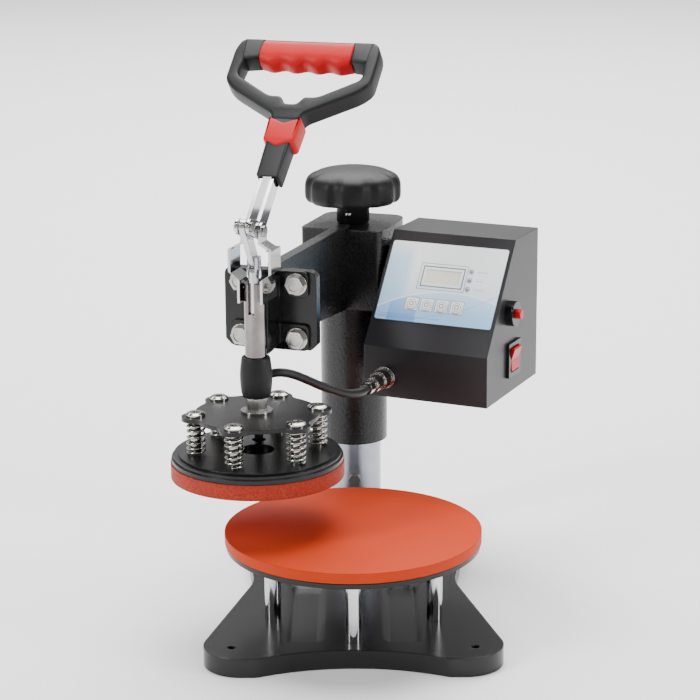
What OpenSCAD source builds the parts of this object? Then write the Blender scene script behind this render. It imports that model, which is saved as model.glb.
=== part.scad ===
// Swing-away ceramic-plate heat press with a toggle-lever head.
// World frame: origin on the column axis at the table, +X right, +Y to the rear, +Z up.
// The head is drawn swung away to the left, with the lever up and the platen raised.

/* [Base] */
// Thickness of the cast base
base_t = 15; // [12:1:20]
// Half width of the base across its front feet
base_half_w = 115; // [105:1:130]
// Radius of the four rounded feet
foot_r = 30; // [24:1:34]
// Radius of the front mounting holes
mount_hole_r = 3.3; // [2.5:0.1:4.5]
// Spacing of the front mounting holes
mount_hole_spacing = 186; // [176:1:190]

/* [Column] */
// Outer radius of the chromed column post
post_r = 23; // [19:0.5:26]
// Wall of the column post
post_wall = 3; // [2:0.5:4]
// Height of the top of the post above the table
post_top = 232; // [200:1:245]
// Wall of the painted swing sleeve
sleeve_wall = 3; // [2.5:0.5:5]
// Radial thickness of the plain bushes between post and sleeve
bush_t = 2.6; // [2:0.1:4]
// Height of the lower end of the sleeve
sleeve_bottom = 95; // [90:1:120]

/* [Lower platen] */
// Distance from the column axis to the platen centre
reach = 232; // [210:1:260]
// Radius of the lower silicone pad
pad_r = 100; // [80:1:110]
// Thickness of the lower silicone pad
pad_t = 8; // [5:0.5:12]
// Thickness of the steel plate under the pad
plate_t = 5; // [4:0.5:8]
// Length of the chromed support posts
support_len = 63; // [50:1:80]
// Radius of the support posts
support_r = 6.4; // [5:0.1:8]

/* [Upper platen] */
// Gap between the two pads with the lever up
platen_gap = 41.3; // [38:0.1:60]
// Radius of the upper silicone pad
upper_pad_r = 67.5; // [54:0.5:80]
// Thickness of the upper silicone pad
upper_pad_t = 12; // [6:0.5:16]
// Thickness of the heater plate
heater_t = 6; // [5:0.5:9]
// Thickness of the cover disc on the heater plate
disc_t = 1.5; // [1:0.5:3]
// Length of the fitted springs
spring_len = 27; // [20:1:34]
// Outer radius of the springs
spring_r = 7.6; // [6.5:0.1:9]
// Wire radius of the springs
wire_r = 1.05; // [0.7:0.05:1.2]
// Pitch-circle radius of the shoulder bolts
bolt_circle_r = 47.6; // [44:0.1:54]
// Thickness of the spider plate
spider_t = 3.2; // [2.8:0.1:6]

/* [Toggle clamp] */
// Radius of the plunger rod
rod_r = 5.5; // [5:0.1:7]
// Outer radius of the guide barrel
barrel_r = 8.25; // [8:0.05:10]
// Length of the guide barrel
barrel_len = 62; // [60:1:75]
// Distance from the lever pivot to the link pin
crank_r = 20; // [17:0.5:20]
// Angle of the lever behind vertical when it is up
lever_lean = 48; // [30:1:50]
// Turn of the lever from up to locked
lever_throw = 110; // [95:1:112]

/* [Handle] */
// Half width of the D handle
handle_half_w = 61; // [45:1:66]
// Distance from the lever pivot to the top of the handle
handle_len = 182; // [165:1:190]
// Thickness of the handle frame
handle_t = 17; // [14:1:22]

/* [Control box] */
// Width of the control box
box_w = 109.5; // [106:0.5:130]
// Depth of the control box at its floor
box_d = 115; // [100:1:130]
// Height of the control box
box_h = 128; // [115:1:140]
// Depth of the flat top of the control box
box_top_d = 51.5; // [40:0.5:60]
// Height of the kink in the front
box_kink_h = 42.5; // [36:0.5:50]
// Sheet thickness of the control box
sheet_t = 1.5; // [1:0.25:2.5]

/* [Pose as drawn] */
// Angle of the head left of the line over the lower platen
head_swing = 18.6; // [0:0.1:60]
// Extra turn of the control box on the head
box_twist = 5.7; // [0:0.1:8]

/* [Hidden] */
$fn = 64;

// Fits
run_gap = 0.05;
slip_gap = 0.3;
eps = 0.01;

// Heights of the lower platen
plate_z = base_t + support_len;
pad_z = plate_z + plate_t;
pad_top = pad_z + pad_t;

// Heights of the upper platen
upper_pad_z = pad_top + platen_gap;
heater_z = upper_pad_z + upper_pad_t;
disc_z = heater_z + heater_t;
spring_z = disc_z + disc_t;
spider_z = spring_z + spring_len;
spider_top = spider_z + spider_t;
shoulder_r = 4;
shoulder_head_r = 7.6;
spring_turns = 6;

// Plunger stack
washer_t = 2.4;
washer_r = 12.4;
nut_af = 15.5;
nut_t = 10.4;
boot_len = 32;
boot_lap = 4;
boot_r = 12.5;
nut_z = spider_top + washer_t;
boot_z = nut_z + nut_t;
barrel_z = boot_z + boot_len - boot_lap;
barrel_top = barrel_z + barrel_len;

// Toggle linkage: pivot A on the bracket, pin B on the lever, pin C on the plunger
pin_c_above_barrel = 15.5;
pin_c_z = barrel_top + pin_c_above_barrel;
pin_a_above_c = 25;
pivot_z = pin_c_z + pin_a_above_c;
pin_b_y = -crank_r * sin(lever_throw);
pin_b_z = -crank_r * cos(lever_throw);
link_len = norm([pin_b_y, pin_a_above_c + pin_b_z]);
link_tilt = atan2(-pin_b_y, pin_a_above_c + pin_b_z);
stroke = crank_r + link_len - pin_a_above_c;
pin_a_r = 3;
pin_b_r = 3;
pin_c_r = 2.5;
link_t = 4.4;
link_r = 4.9;
bar_t = 2.5;
bar_in = link_t / 2 + 1.1;
bar_out = bar_in + bar_t;
neck_in = bar_out + slip_gap;
bracket_t = 2;
neck_out = neck_in + bracket_t;

// Sleeve and bracket
sleeve_in = post_r + bush_t;
sleeve_r = sleeve_in + sleeve_wall;
bracket_top = 286;
bracket_drop = 69;
bracket_wall = 4;
bracket_half_w = sleeve_r + 7;
bracket_front = -(sleeve_r + 5);
bracket_back = sleeve_r + 12;
bracket_front_r = 4;
bracket_back_r = 14;
bush_len = 22;
thrust_t = 4;
post_end = min(post_top, bracket_top - bracket_wall - 26 - thrust_t);
screw_r = 8;
screw_z = post_end + thrust_t;
knob_r = 41;
knob_h = 30;
hub_r = 14;
hub_h = 17.5;
knob_z = bracket_top + slip_gap + hub_h;

// Arm and clamp mounting
web_t = 9.5;
web_rise = 5;
mount_t = 8;
mount_half_w = 38;
flange_t = 3;
block_reach = 25;
mount_front = -(reach - block_reach - barrel_r);
mount_back = mount_front + mount_t;
clamp_mid_z = barrel_z + 34;
mount_half_h = 31.4;
block_half_w = barrel_r;
ear_pin_r = 2;
ear_pin_z = pivot_z - 44;
clamp_bolt_x = 23;
clamp_bolt_z = 21.7;
clamp_bolt_r = 4;
bolt_af = 13;
bolt_head_t = 5.5;
bolt_washer_r = 8.7;
bolt_washer_t = 1.6;
tail_len = 20;

// Control box, seen in its own turned frame
box_x = bracket_half_w + 7.1;
box_y = -73.3;
box_z = bracket_top - 1 - box_h;
slope_d = box_d - box_top_d;
slope_h = box_h - box_kink_h;
slope_len = norm([slope_d, slope_h]);
slope_angle = atan2(slope_h, slope_d);
lug_r = 3.5;
lug_len = 12;
lug_in = sheet_t + lug_r - 0.8;
cover_screw_r = 1.4;
overlay_t = 0.5;
overlay_x = 2.5;
overlay_s = 24;
overlay_w = box_w - 2 * overlay_x;
overlay_h = 73;
lcd_x = 35;
lcd_s = 56.5;
lcd_w = 38.5;
lcd_h = 20;
button_xs = [33, 46.4, 59.8, 73.2];
button_s = 40.7;
button_r = 4.8;
led_x = 78.2;
led_ss = [58, 66, 74];
led_r = 1.5;
socket_x = 19.5;
socket_zz = 17;
socket_r = 6;
plug_len = 39;
breaker_y = 49;
breaker_z = 69;
breaker_r = 10.5;
rocker_y = 58;
rocker_z = 28.6;
rocker_w = 27;
rocker_h = 29;

// Handle outline, measured along the lever from its pivot
neck_start = 47;
collar_low = 79;
collar_high = 102;
frame_join = 108;
grip_half_w = 39;
grip_core_r = 6;
grip_r = 10.5;
grip_l = handle_len - 11;

// Base plan
waist_y = -150;
waist_half_w = 82;
rear_y = 12;
rear_half_w = 100;
foot_y = -(reach + 49);
front_edge_y = foot_y - 13;
slot_in = 21.5;
slot_out = 56;
slot_front = -(reach + 46);
slot_back = -(reach - 92);
slot_depth = base_t * 0.47;
slot_slope = 7;
support_side = 63.3;
support_front = 42.7;
mount_hole_y = -(reach + 56);
support_spots = [[-support_side, 0], [support_side, 0], [0, -support_front], [0, support_front]];
support_screw_r = 3;
screw_head_r = 5;
screw_head_t = 3;
post_bolt_z = base_t + 47;
post_bolt_r = 3.3;

// Route of the heater lead in the head's frame, from the plug to the platen
cable_r = 3.5;
cable_points = [[50.7, -117.9, 174], [49.9, -125.5, 174], [47, -134, 174.5], [42, -145, 177], [36, -156, 182],
    [29, -168, 188.5], [22, -180, 196], [15, -191, 202.5], [8, -200, 206], [1, -205.5, 205.5],
    [-5, -207.6, 201.5], [-8, -207.6, 194], [-8.3, -207.4, 186], [-8.3, -207.4, 176],
    [-8.3, -207.4, 164], [-8.3, -207.4, 150.9]];
cable_drop = [-8.3, 24.6];
cable_sides = 10;

// Frames
module in_head() rotate([0, 0, -head_swing]) children();
module in_box() rotate([0, 0, -head_swing - box_twist]) translate([box_x, box_y, box_z]) children();
module on_slope() in_box() translate([0, 0, box_kink_h]) rotate([slope_angle, 0, 0]) children();
module on_rod() in_head() translate([0, -reach, 0]) children();
module at_pivot() on_rod() translate([0, 0, pivot_z]) children();
module in_lever() at_pivot() rotate([-lever_lean, 0, 0]) children();
module along_x(half) rotate([90, 0, 90]) translate([0, 0, -half]) linear_extrude(2 * half) children();
module six() for (i = [0:5]) rotate([0, 0, 30 + 60 * i]) translate([bolt_circle_r, 0, 0]) children();
module four_bolts()
    for (sx = [-1, 1], sz = [-1, 1])
        in_head() translate([sx * clamp_bolt_x, mount_front, clamp_mid_z + sz * clamp_bolt_z]) children();
module ring(r_out, r_in, h) difference() {
    cylinder(r = r_out, h = h);
    translate([0, 0, -1]) cylinder(r = r_in, h = h + 2);
}
module round_rect(w, d, r) {
    square([w - 2 * r, d], center = true);
    square([w, d - 2 * r], center = true);
    for (sx = [-1, 1], sy = [-1, 1]) translate([sx * (w / 2 - r), sy * (d / 2 - r)]) circle(r = r);
}
module hex(af, h) cylinder(d = af / cos(30), h = h, $fn = 6);

// Sweeping a tube along points
function unit(v) = v / norm(v);
function catmull(a, b, c, d, t) =
    0.5 * (2 * b + (c - a) * t + (2 * a - 5 * b + 4 * c - d) * t * t + (3 * b - a - 3 * c + d) * t * t * t);
function smooth_path(p, n) = let (m = len(p)) concat([for (i = [0:m - 2], k = [0:n - 1])
    catmull(p[max(i - 1, 0)], p[i], p[i + 1], p[min(i + 2, m - 1)], k / n)], [p[m - 1]]);
function tangent(p, i) = unit(p[min(i + 1, len(p) - 1)] - p[max(i - 1, 0)]);
function carry(v, t) = unit(v - (v * t) * t);
function side_dirs(p, v, i = 0) =
    i == len(p) ? [] : let (w = carry(v, tangent(p, i))) concat([w], side_dirs(p, w, i + 1));
function tube_rings(p, r, n, start) = let (u = side_dirs(p, start)) [for (i = [0:len(p) - 1], k = [0:n - 1])
    let (v = cross(tangent(p, i), u[i])) p[i] + r * (cos(360 * k / n) * u[i] + sin(360 * k / n) * v)];
module tube(p, r, n, start) {
    m = len(p);
    walls = [for (i = [0:m - 2], k = [0:n - 1])
        [i * n + k, i * n + (k + 1) % n, (i + 1) * n + (k + 1) % n, (i + 1) * n + k]];
    polyhedron(tube_rings(p, r, n, start), concat(walls,
        [[for (k = [0:n - 1]) n - 1 - k], [for (k = [0:n - 1]) (m - 1) * n + k]]), convexity = 6);
}

// ---- Base -------------------------------------------------------------------------------------

module base_half(y, half_w) hull() for (s = [-1, 1]) {
    translate([s * (half_w - foot_r), y]) circle(r = foot_r);
    translate([s * (waist_half_w - foot_r), waist_y]) circle(r = foot_r);
}

module base_plan() offset(r = 10) offset(delta = -10) offset(r = -60) offset(delta = 60) difference() {
    union() {
        base_half(foot_y, base_half_w);
        base_half(rear_y, rear_half_w);
    }
    translate([0, front_edge_y - 165]) circle(r = 165);
    translate([0, rear_y + foot_r - 9 + 165]) circle(r = 165);
}

module pocket_plan(inset, r)
    round_rect(slot_out - slot_in - 2 * inset, slot_back - slot_front - 2 * inset, r);

module base_plate() color("#1b1b1d") difference() {
    union() {
        linear_extrude(base_t) base_plan();
        translate([0, 0, base_t - eps]) cylinder(r = post_r - post_wall, h = 60);
    }
    for (s = [-1, 1]) {
        translate([s * (slot_in + slot_out) / 2, (slot_front + slot_back) / 2, 0]) hull() {
            translate([0, 0, base_t]) linear_extrude(1) pocket_plan(0, 10);
            translate([0, 0, base_t - slot_depth]) linear_extrude(0.2) pocket_plan(slot_slope, 4);
        }
        translate([s * mount_hole_spacing / 2, mount_hole_y, -1]) cylinder(r = mount_hole_r, h = base_t + 2);
    }
    for (p = support_spots) translate([p[0], p[1] - reach, -1]) {
        cylinder(r = support_screw_r, h = base_t + 2);
        cylinder(r = screw_head_r + 1, h = 7);
    }
    translate([0, 0, post_bolt_z]) rotate([90, 0, 0]) cylinder(r = post_bolt_r, h = 60);
}

module column_post() color("silver") difference() {
    translate([0, 0, base_t]) cylinder(r = post_r, h = post_end - base_t);
    translate([0, 0, base_t - 1]) cylinder(r = post_r - post_wall, h = post_end - base_t - 4);
    translate([0, 0, post_bolt_z]) rotate([90, 0, 0]) cylinder(r = post_bolt_r, h = 60);
}

module post_bolt() color("gainsboro") difference() {
    translate([0, -post_r - 4, post_bolt_z]) rotate([-90, 0, 0]) {
        cylinder(r = post_bolt_r, h = post_r - 6);
        hex(10, 6);
    }
    translate([0, 0, post_bolt_z - 12]) difference() {
        cylinder(r = post_r, h = 24);
        translate([0, 0, 12]) rotate([90, 0, 0]) cylinder(r = post_bolt_r, h = post_r + 2);
    }
}

module support_posts() color("silver")
    for (p = support_spots) translate([p[0], p[1] - reach, base_t]) difference() {
        cylinder(r = support_r, h = support_len);
        translate([0, 0, -1]) cylinder(r = support_screw_r, h = 15);
        translate([0, 0, support_len - 14]) cylinder(r = support_screw_r, h = 15);
    }

module platen_screws() color("gray")
    for (p = support_spots) translate([p[0], p[1] - reach, 0]) {
        translate([0, 0, 6 - screw_head_t]) cylinder(r = screw_head_r, h = screw_head_t);
        translate([0, 0, 6]) cylinder(r = support_screw_r, h = base_t + 6);
        translate([0, 0, plate_z - 12]) cylinder(r = support_screw_r, h = plate_t + 12 - screw_head_t);
        translate([0, 0, pad_z - screw_head_t]) cylinder(r = screw_head_r, h = screw_head_t - 0.3);
    }

module lower_plate() color("#2b2b2e") translate([0, -reach, plate_z]) difference() {
    union() {
        cylinder(r = pad_r - 2, h = plate_t);
        translate([0, 0, 0.8]) cylinder(r = pad_r - 1, h = plate_t - 1.6);
    }
    for (p = support_spots) translate([p[0], p[1], -1]) {
        cylinder(r = support_screw_r, h = plate_t + 2);
        translate([0, 0, plate_t + 1 - screw_head_t]) cylinder(r = screw_head_r + 0.4, h = 4);
    }
}

module lower_pad() color("#e0522e") translate([0, -reach, pad_z]) cylinder(r = pad_r, h = pad_t, $fn = 96);

// ---- Height adjuster --------------------------------------------------------------------------

module thrust_disc() color("dimgray") translate([0, 0, post_end]) cylinder(r = sleeve_in - 1, h = thrust_t);

module height_knob() color("#202022") difference() {
    union() {
        translate([0, 0, knob_z]) rotate_extrude() polygon(concat([[0, 0], [knob_r - 5, 0], [knob_r, 5],
            [knob_r, knob_h * 0.55]], [for (a = [0:15:90])
            [(knob_r - 12) * (1 - pow(a / 90, 2)) + 12 * cos(a), knob_h * 0.55 + knob_h * 0.45 * sin(a)]]));
        translate([0, 0, knob_z - hub_h]) cylinder(r = hub_r, h = hub_h + 1);
    }
    for (i = [0:7]) rotate([0, 0, 45 * i + 22.5]) translate([knob_r + 12.5, 0, knob_z - 1])
        cylinder(r = 15, h = knob_h + 2);
    translate([0, 0, knob_z - hub_h - 1]) cylinder(r = screw_r - run_gap, h = hub_h + 15);
}

module adjusting_screw() color("gray") translate([0, 0, screw_z])
    cylinder(r = screw_r - run_gap, h = knob_z + 14 - screw_z);

// ---- Sleeve and arm ---------------------------------------------------------------------------

module column_sleeve() color("#1d1d1f") translate([0, 0, sleeve_bottom])
    ring(sleeve_r, sleeve_in, bracket_top - bracket_wall - sleeve_bottom);

module sleeve_bushes() color("peru")
    for (z = [sleeve_bottom, post_end - 8 - bush_len]) translate([0, 0, z])
        ring(sleeve_in, post_r + run_gap, bush_len);

module bracket_plan(inset) {
    w = bracket_half_w - inset;
    f = bracket_front + inset;
    b = bracket_back - inset;
    fr = max(bracket_front_r - inset, 0.6);
    br = bracket_back_r - inset;
    hull() {
        for (s = [-1, 1]) translate([s * (w - fr), f + fr]) circle(r = fr);
        for (s = [-1, 1]) translate([s * (w - br), b - br]) circle(r = br);
    }
}

module head_bracket() color("#232326") in_head() difference() {
    translate([0, 0, bracket_top - bracket_drop]) linear_extrude(bracket_drop) bracket_plan(0);
    translate([0, 0, bracket_top - bracket_drop - 1])
        linear_extrude(bracket_drop + 1 - bracket_wall) bracket_plan(bracket_wall);
    translate([0, 0, bracket_top - bracket_wall - 1]) cylinder(r = screw_r + 0.6, h = bracket_wall + 2);
}

module adjuster_nut() color("gray") in_head() difference() {
    translate([0, 0, bracket_top - bracket_wall - 16]) hex(27, 16);
    translate([0, 0, bracket_top - bracket_wall - 17]) cylinder(r = screw_r, h = 18);
}

module arm_web() color("#1d1d1f") in_head() along_x(web_t / 2) polygon([
    [bracket_front, bracket_top - bracket_drop],
    [bracket_front, bracket_top],
    [bracket_front + 11, bracket_top],
    [bracket_front + 9, bracket_top + 3],
    [mount_back, bracket_top + web_rise],
    [mount_back, clamp_mid_z - mount_half_h + 2],
    [mount_back + 30, clamp_mid_z - mount_half_h + 2]]);

module mount_plate() color("#1b1b1d") difference() {
    in_head() translate([0, mount_back, clamp_mid_z]) rotate([90, 0, 0]) linear_extrude(mount_t)
        polygon(concat(
        [for (a = [0:15:90]) [mount_half_w - 6 + 6 * cos(a), mount_half_h - 6 + 6 * sin(a)]],
        [for (a = [90:15:180]) [-mount_half_w + 6 + 6 * cos(a), mount_half_h - 6 + 6 * sin(a)]],
        [[-mount_half_w, 5 - mount_half_h], [5 - mount_half_w, -mount_half_h]],
        [[mount_half_w - 5, -mount_half_h], [mount_half_w, 5 - mount_half_h]]));
    four_bolts() translate([0, -1, 0]) rotate([-90, 0, 0]) cylinder(r = clamp_bolt_r, h = mount_t + 2);
}

module guide_block() color("#18181a") difference() {
    in_head() {
        for (z = [10.4 - mount_half_h, mount_half_h - 10.4]) translate([0, mount_front, clamp_mid_z + z])
            rotate([90, 0, 0]) linear_extrude(flange_t) round_rect(64, 20.8, 4);
        along_x(block_half_w) polygon([[mount_front, barrel_top - 1.5], [5 - reach, barrel_top - 1.5],
            [5 - reach, barrel_z + boot_lap + 1], [12 - reach, barrel_z + boot_lap + 1],
            [mount_front, barrel_z + 8]]);
    }
    on_rod() translate([0, 0, barrel_z - 14]) cylinder(r = barrel_r, h = barrel_len + 20);
    four_bolts() translate([0, 1, 0]) rotate([90, 0, 0]) cylinder(r = clamp_bolt_r, h = flange_t + 2);
}

module guide_barrel() color("gainsboro") on_rod() difference() {
    translate([0, 0, barrel_z]) ring(barrel_r, rod_r + run_gap, barrel_len);
    translate([-link_t / 2 - slip_gap, -20, pivot_z - crank_r - link_len - 7])
        cube([link_t + 2 * slip_gap, 40, 60]);
    translate([-20, 0, ear_pin_z]) rotate([0, 90, 0]) cylinder(r = ear_pin_r, h = 40);
}

module bracket_side() linear_extrude(22, center = true) polygon([
    [neck_in, 7], [neck_out, 7], [neck_out, -8], [17.5, -13.5], [17.5, -31],
    [barrel_r + bracket_t, -36], [barrel_r + bracket_t, -55], [barrel_r, -55], [barrel_r, -37],
    [15.5, -32], [15.5, -14.5], [neck_in, -9]]);

module toggle_bracket() color("gainsboro") difference() {
    at_pivot() for (s = [0, 1]) mirror([s, 0, 0]) {
        intersection() {
            rotate([90, 0, 0]) bracket_side();
            union() {
                rotate([0, 90, 0]) cylinder(r = 7, h = 30);
                translate([0, -7, -14]) cube([30, 14, 14]);
                translate([0, -10, -60]) cube([30, 21, 47]);
            }
        }
        translate([barrel_r, 10, -55]) cube([bracket_t, 12, 13]);
    }
    at_pivot() translate([-15, 0, 0]) rotate([0, 90, 0]) cylinder(r = pin_a_r, h = 30);
    on_rod() translate([-15, 0, ear_pin_z]) rotate([0, 90, 0]) cylinder(r = ear_pin_r, h = 30);
}

module headed_pin(r, half, head_r, head_t) rotate([0, 90, 0]) {
    translate([0, 0, -half]) cylinder(r = r, h = 2 * half);
    for (s = [-1, 1]) translate([0, 0, s > 0 ? half : -half - head_t]) cylinder(r = head_r, h = head_t);
}

module bracket_pins() color("silver") {
    at_pivot() headed_pin(pin_a_r, neck_out, 4.5, 1.6);
    on_rod() translate([0, 0, ear_pin_z]) for (s = [0, 1]) mirror([s, 0, 0]) rotate([0, 90, 0]) {
        translate([0, 0, rod_r + 0.4]) cylinder(r = ear_pin_r, h = barrel_r + bracket_t - rod_r - 0.4);
        translate([0, 0, barrel_r + bracket_t]) cylinder(r = 3.4, h = 1.4);
    }
}

module clamp_bolts() color("gainsboro") four_bolts() rotate([90, 0, 0]) difference() {
    union() {
        translate([0, 0, -mount_t]) cylinder(r = clamp_bolt_r, h = mount_t + flange_t + bolt_washer_t + 1);
        translate([0, 0, flange_t + bolt_washer_t]) hex(bolt_af, bolt_head_t);
    }
    translate([0, 0, flange_t + bolt_washer_t + bolt_head_t - 0.8]) cylinder(r = 4.6, h = 2);
}

module clamp_washers() color("gainsboro") four_bolts() rotate([90, 0, 0]) translate([0, 0, flange_t])
    ring(bolt_washer_r, clamp_bolt_r + 0.2, bolt_washer_t);

// ---- Control box ------------------------------------------------------------------------------

module box_profile(t) {
    nz = t * slope_d / slope_len;
    ny = t * slope_h / slope_len;
    polygon([[t, t], [box_d - t, t], [box_d - t, box_h - t],
        [ny + (box_h - t - box_kink_h + nz) * slope_d / slope_h, box_h - t],
        [t, box_kink_h - nz + (t - ny) * slope_h / slope_d]]);
}

module button_holes(r, x0) for (x = button_xs) translate([x - x0, button_s, -5]) cylinder(r = r, h = 10);
module lcd_cut(m) translate([lcd_x + m, lcd_s + m, -5]) cube([lcd_w - 2 * m, lcd_h - 2 * m, 10]);
module led_holes(r) for (s = led_ss) translate([led_x, s, -5]) cylinder(r = r, h = 10);

module cover_spots() for (x = [lug_in, box_w - lug_in], z = [lug_in, box_h - lug_in])
    translate([x, box_d, z]) rotate([90, 0, 0]) children();

module mount_screw_spots() for (z = [0.45, 0.8]) translate([0, 73, box_h * z]) rotate([0, 90, 0]) children();

module control_box() color("#242428") difference() {
    union() {
        in_box() difference() {
            translate([box_w / 2, 0, 0]) along_x(box_w / 2) box_profile(0);
            translate([box_w / 2, 0, 0]) along_x(box_w / 2 - sheet_t) box_profile(sheet_t);
            translate([sheet_t, box_d - 2 * sheet_t, sheet_t])
                cube([box_w - 2 * sheet_t, 3 * sheet_t, box_h - 2 * sheet_t]);
        }
        in_box() cover_spots() cylinder(r = lug_r, h = lug_len);
    }
    in_box() cover_spots() translate([0, 0, -1]) cylinder(r = cover_screw_r, h = lug_len);
    on_slope() button_holes(button_r + 0.25, 0);
    on_slope() lcd_cut(1.5);
    on_slope() led_holes(led_r + run_gap);
    in_box() translate([socket_x, -1, socket_zz]) rotate([-90, 0, 0]) cylinder(r = socket_r, h = 4);
    in_box() translate([box_w - 3, breaker_y, breaker_z]) rotate([0, 90, 0]) cylinder(r = 7, h = 5);
    in_box() translate([box_w - 3, rocker_y - rocker_w / 2 + 2.5, rocker_z - rocker_h / 2 + 2.5])
        cube([5, rocker_w - 5, rocker_h - 5]);
    in_box() mount_screw_spots() translate([0, 0, -1]) cylinder(r = 2.1, h = 4);
}

module back_cover() color("#242428") in_box() difference() {
    translate([0, box_d, 0]) cube([box_w, sheet_t, box_h]);
    cover_spots() translate([0, 0, -3]) cylinder(r = cover_screw_r + 0.2, h = 6);
    translate([box_w / 2 - 12.3, box_d - 1, 17.7]) cube([24.6, 4, 16.6]);
    for (i = [0:5]) translate([box_w / 2 - 25, box_d - 1, 70 + 6 * i]) cube([50, 4, 2]);
}

module cover_screws() color("gainsboro") in_box() cover_spots() {
    translate([0, 0, -sheet_t]) cylinder(r = cover_screw_r, h = 10);
    translate([0, 0, -sheet_t - 1.8]) cylinder(r = 2.8, h = 1.8);
}

module panel_overlay() color("#cfe6f7") on_slope() difference() {
    translate([overlay_x + overlay_w / 2, overlay_s + overlay_h / 2, 0]) linear_extrude(overlay_t)
        round_rect(overlay_w, overlay_h, 4);
    button_holes(button_r + 0.25, 0);
    lcd_cut(3.5);
    led_holes(led_r + run_gap);
}

module display_window() color("#d9dcc8") on_slope()
    translate([lcd_x + 1.7, lcd_s + 1.7, -3]) cube([lcd_w - 3.4, lcd_h - 3.4, 3]);

module panel_leds() color("#d05030") on_slope() for (s = led_ss) translate([led_x, s, 0]) {
    translate([0, 0, -3]) cylinder(r = led_r, h = 3 + overlay_t);
    translate([0, 0, overlay_t]) intersection() {
        sphere(r = led_r, $fn = 32);
        cylinder(r = 2 * led_r, h = led_r);
    }
}

module circuit_board() color("#2f6b3a") on_slope() {
    translate([22, 30, -8.6]) cube([70, 54, 1.6]);
    translate([lcd_x + 3, lcd_s + 2, -7]) cube([lcd_w - 6, lcd_h - 4, 4]);
    for (x = button_xs) translate([x - 3, button_s - 3, -7]) cube([6, 6, 1]);
}

module transformer() color("#b88a3a") in_box() {
    translate([26, 50, sheet_t]) cube([40, 34, 3]);
    translate([29, 53, sheet_t + 3]) cube([34, 28, 30]);
    translate([35, 47, sheet_t + 8]) cube([22, 40, 20]);
}

function box_to_head(x, y) =
    [x * cos(box_twist) + y * sin(box_twist), y * cos(box_twist) - x * sin(box_twist)];

module box_mount() color("#1d1d1f") difference() {
    in_head() translate([0, 0, box_z + box_h * 0.36]) linear_extrude(box_h * 0.53) polygon([
        [bracket_half_w, -14], [bracket_half_w, 10], box_to_head(box_x, 10), box_to_head(box_x, -14)]);
    in_box() mount_screw_spots() translate([0, 0, -5]) cylinder(r = 2.05, h = 6);
}

module breaker_body() color("#151516") in_box() translate([box_w, breaker_y, breaker_z]) rotate([0, 90, 0])
    difference() {
        union() {
            cylinder(r = breaker_r, h = 7);
            translate([0, 0, -20]) cylinder(r = 7, h = 21);
        }
        translate([0, 0, -10]) cylinder(r = 4 + run_gap, h = 20);
    }

module breaker_button() color("#c8102e") in_box() translate([box_w, breaker_y, breaker_z])
    rotate([0, 90, 0]) translate([0, 0, -7]) cylinder(r = 4, h = 18.5);

module switch_housing() color("#151516") in_box() translate([box_w, rocker_y, rocker_z]) difference() {
    union() {
        translate([0, -rocker_w / 2, -rocker_h / 2]) cube([2.5, rocker_w, rocker_h]);
        translate([-18, -rocker_w / 2 + 2.7, -rocker_h / 2 + 2.7]) cube([19, rocker_w - 5.4, rocker_h - 5.4]);
    }
    translate([-10, -rocker_w / 2 + 4.5, -rocker_h / 2 + 3.8]) cube([20, rocker_w - 9, rocker_h - 7.6]);
    rotate([90, 0, 0]) translate([0, 0, 3.1 - rocker_w / 2]) cylinder(r = 1.5 + run_gap, h = rocker_w - 6.2);
}

module power_rocker() color("#d01820") in_box() translate([box_w, rocker_y, rocker_z]) {
    along_y(rocker_w / 2 - 4.8) polygon(rocker_outline());
    rotate([90, 0, 0]) translate([0, 0, 3.3 - rocker_w / 2]) cylinder(r = 1.5, h = rocker_w - 6.6);
}

function rocker_outline() = let (h = rocker_h / 2 - 4.6)
    [[-2, 0.8 - h], [1.2, -h], [3.2, -h + 0.5], [2.6, 0], [5.6, h - 0.8], [4, h], [-3, h - 1.2]];

module along_y(half) rotate([90, 0, 0]) translate([0, 0, -half]) linear_extrude(2 * half) children();

module power_inlet() color("#18181a") in_box() translate([box_w / 2, box_d + sheet_t, 26]) {
    difference() {
        union() {
            translate([-20, 0, -11.5]) cube([40, 3, 23]);
            translate([-12.1, -19, -8.1]) cube([24.2, 20, 16.2]);
        }
        translate([-10.6, -11, -6.6]) cube([21.2, 20, 13.2]);
    }
    for (x = [-7, 0, 7]) translate([x - 1, -12, -2]) cube([2, 8, 4]);
}

module cable_socket() color("silver") in_box() translate([socket_x, 0, socket_zz]) rotate([90, 0, 0]) {
    translate([0, 0, -10]) cylinder(r = socket_r, h = 11);
    cylinder(r = 9.3, h = 2.6);
    cylinder(r = 6.6, h = 8);
}

module cable_plug() color("silver") in_box() translate([socket_x, 0, socket_zz]) rotate([90, 0, 0]) {
    difference() {
        translate([0, 0, 3.2]) cylinder(r = 8, h = 12);
        translate([0, 0, 2]) cylinder(r = 6.6, h = 6);
    }
    translate([0, 0, 15]) cylinder(r = 6.8, h = 13);
    translate([0, 0, 27.9]) cylinder(r = 5.4, h = plug_len - 27.9);
}

module heater_cable() color("#1a1a1a") in_head()
    tube(smooth_path(cable_points, 4), cable_r, cable_sides, [0, 0, 1]);

module panel_button(i) color("#e8ecef") on_slope() translate([button_xs[i], button_s, -4.9]) {
    cylinder(r = button_r, h = 4.9 + overlay_t + 0.9);
}

module button_1() panel_button(0);
module button_2() panel_button(1);
module button_3() panel_button(2);
module button_4() panel_button(3);

// ---- Lever ------------------------------------------------------------------------------------

module lever_side() {
    hull() {
        circle(r = 7);
        rotate(-lever_lean) translate([0, collar_high - 3]) circle(r = 5);
    }
    hull() {
        circle(r = 7);
        translate([pin_b_y, pin_b_z]) circle(r = 6);
    }
}

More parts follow.
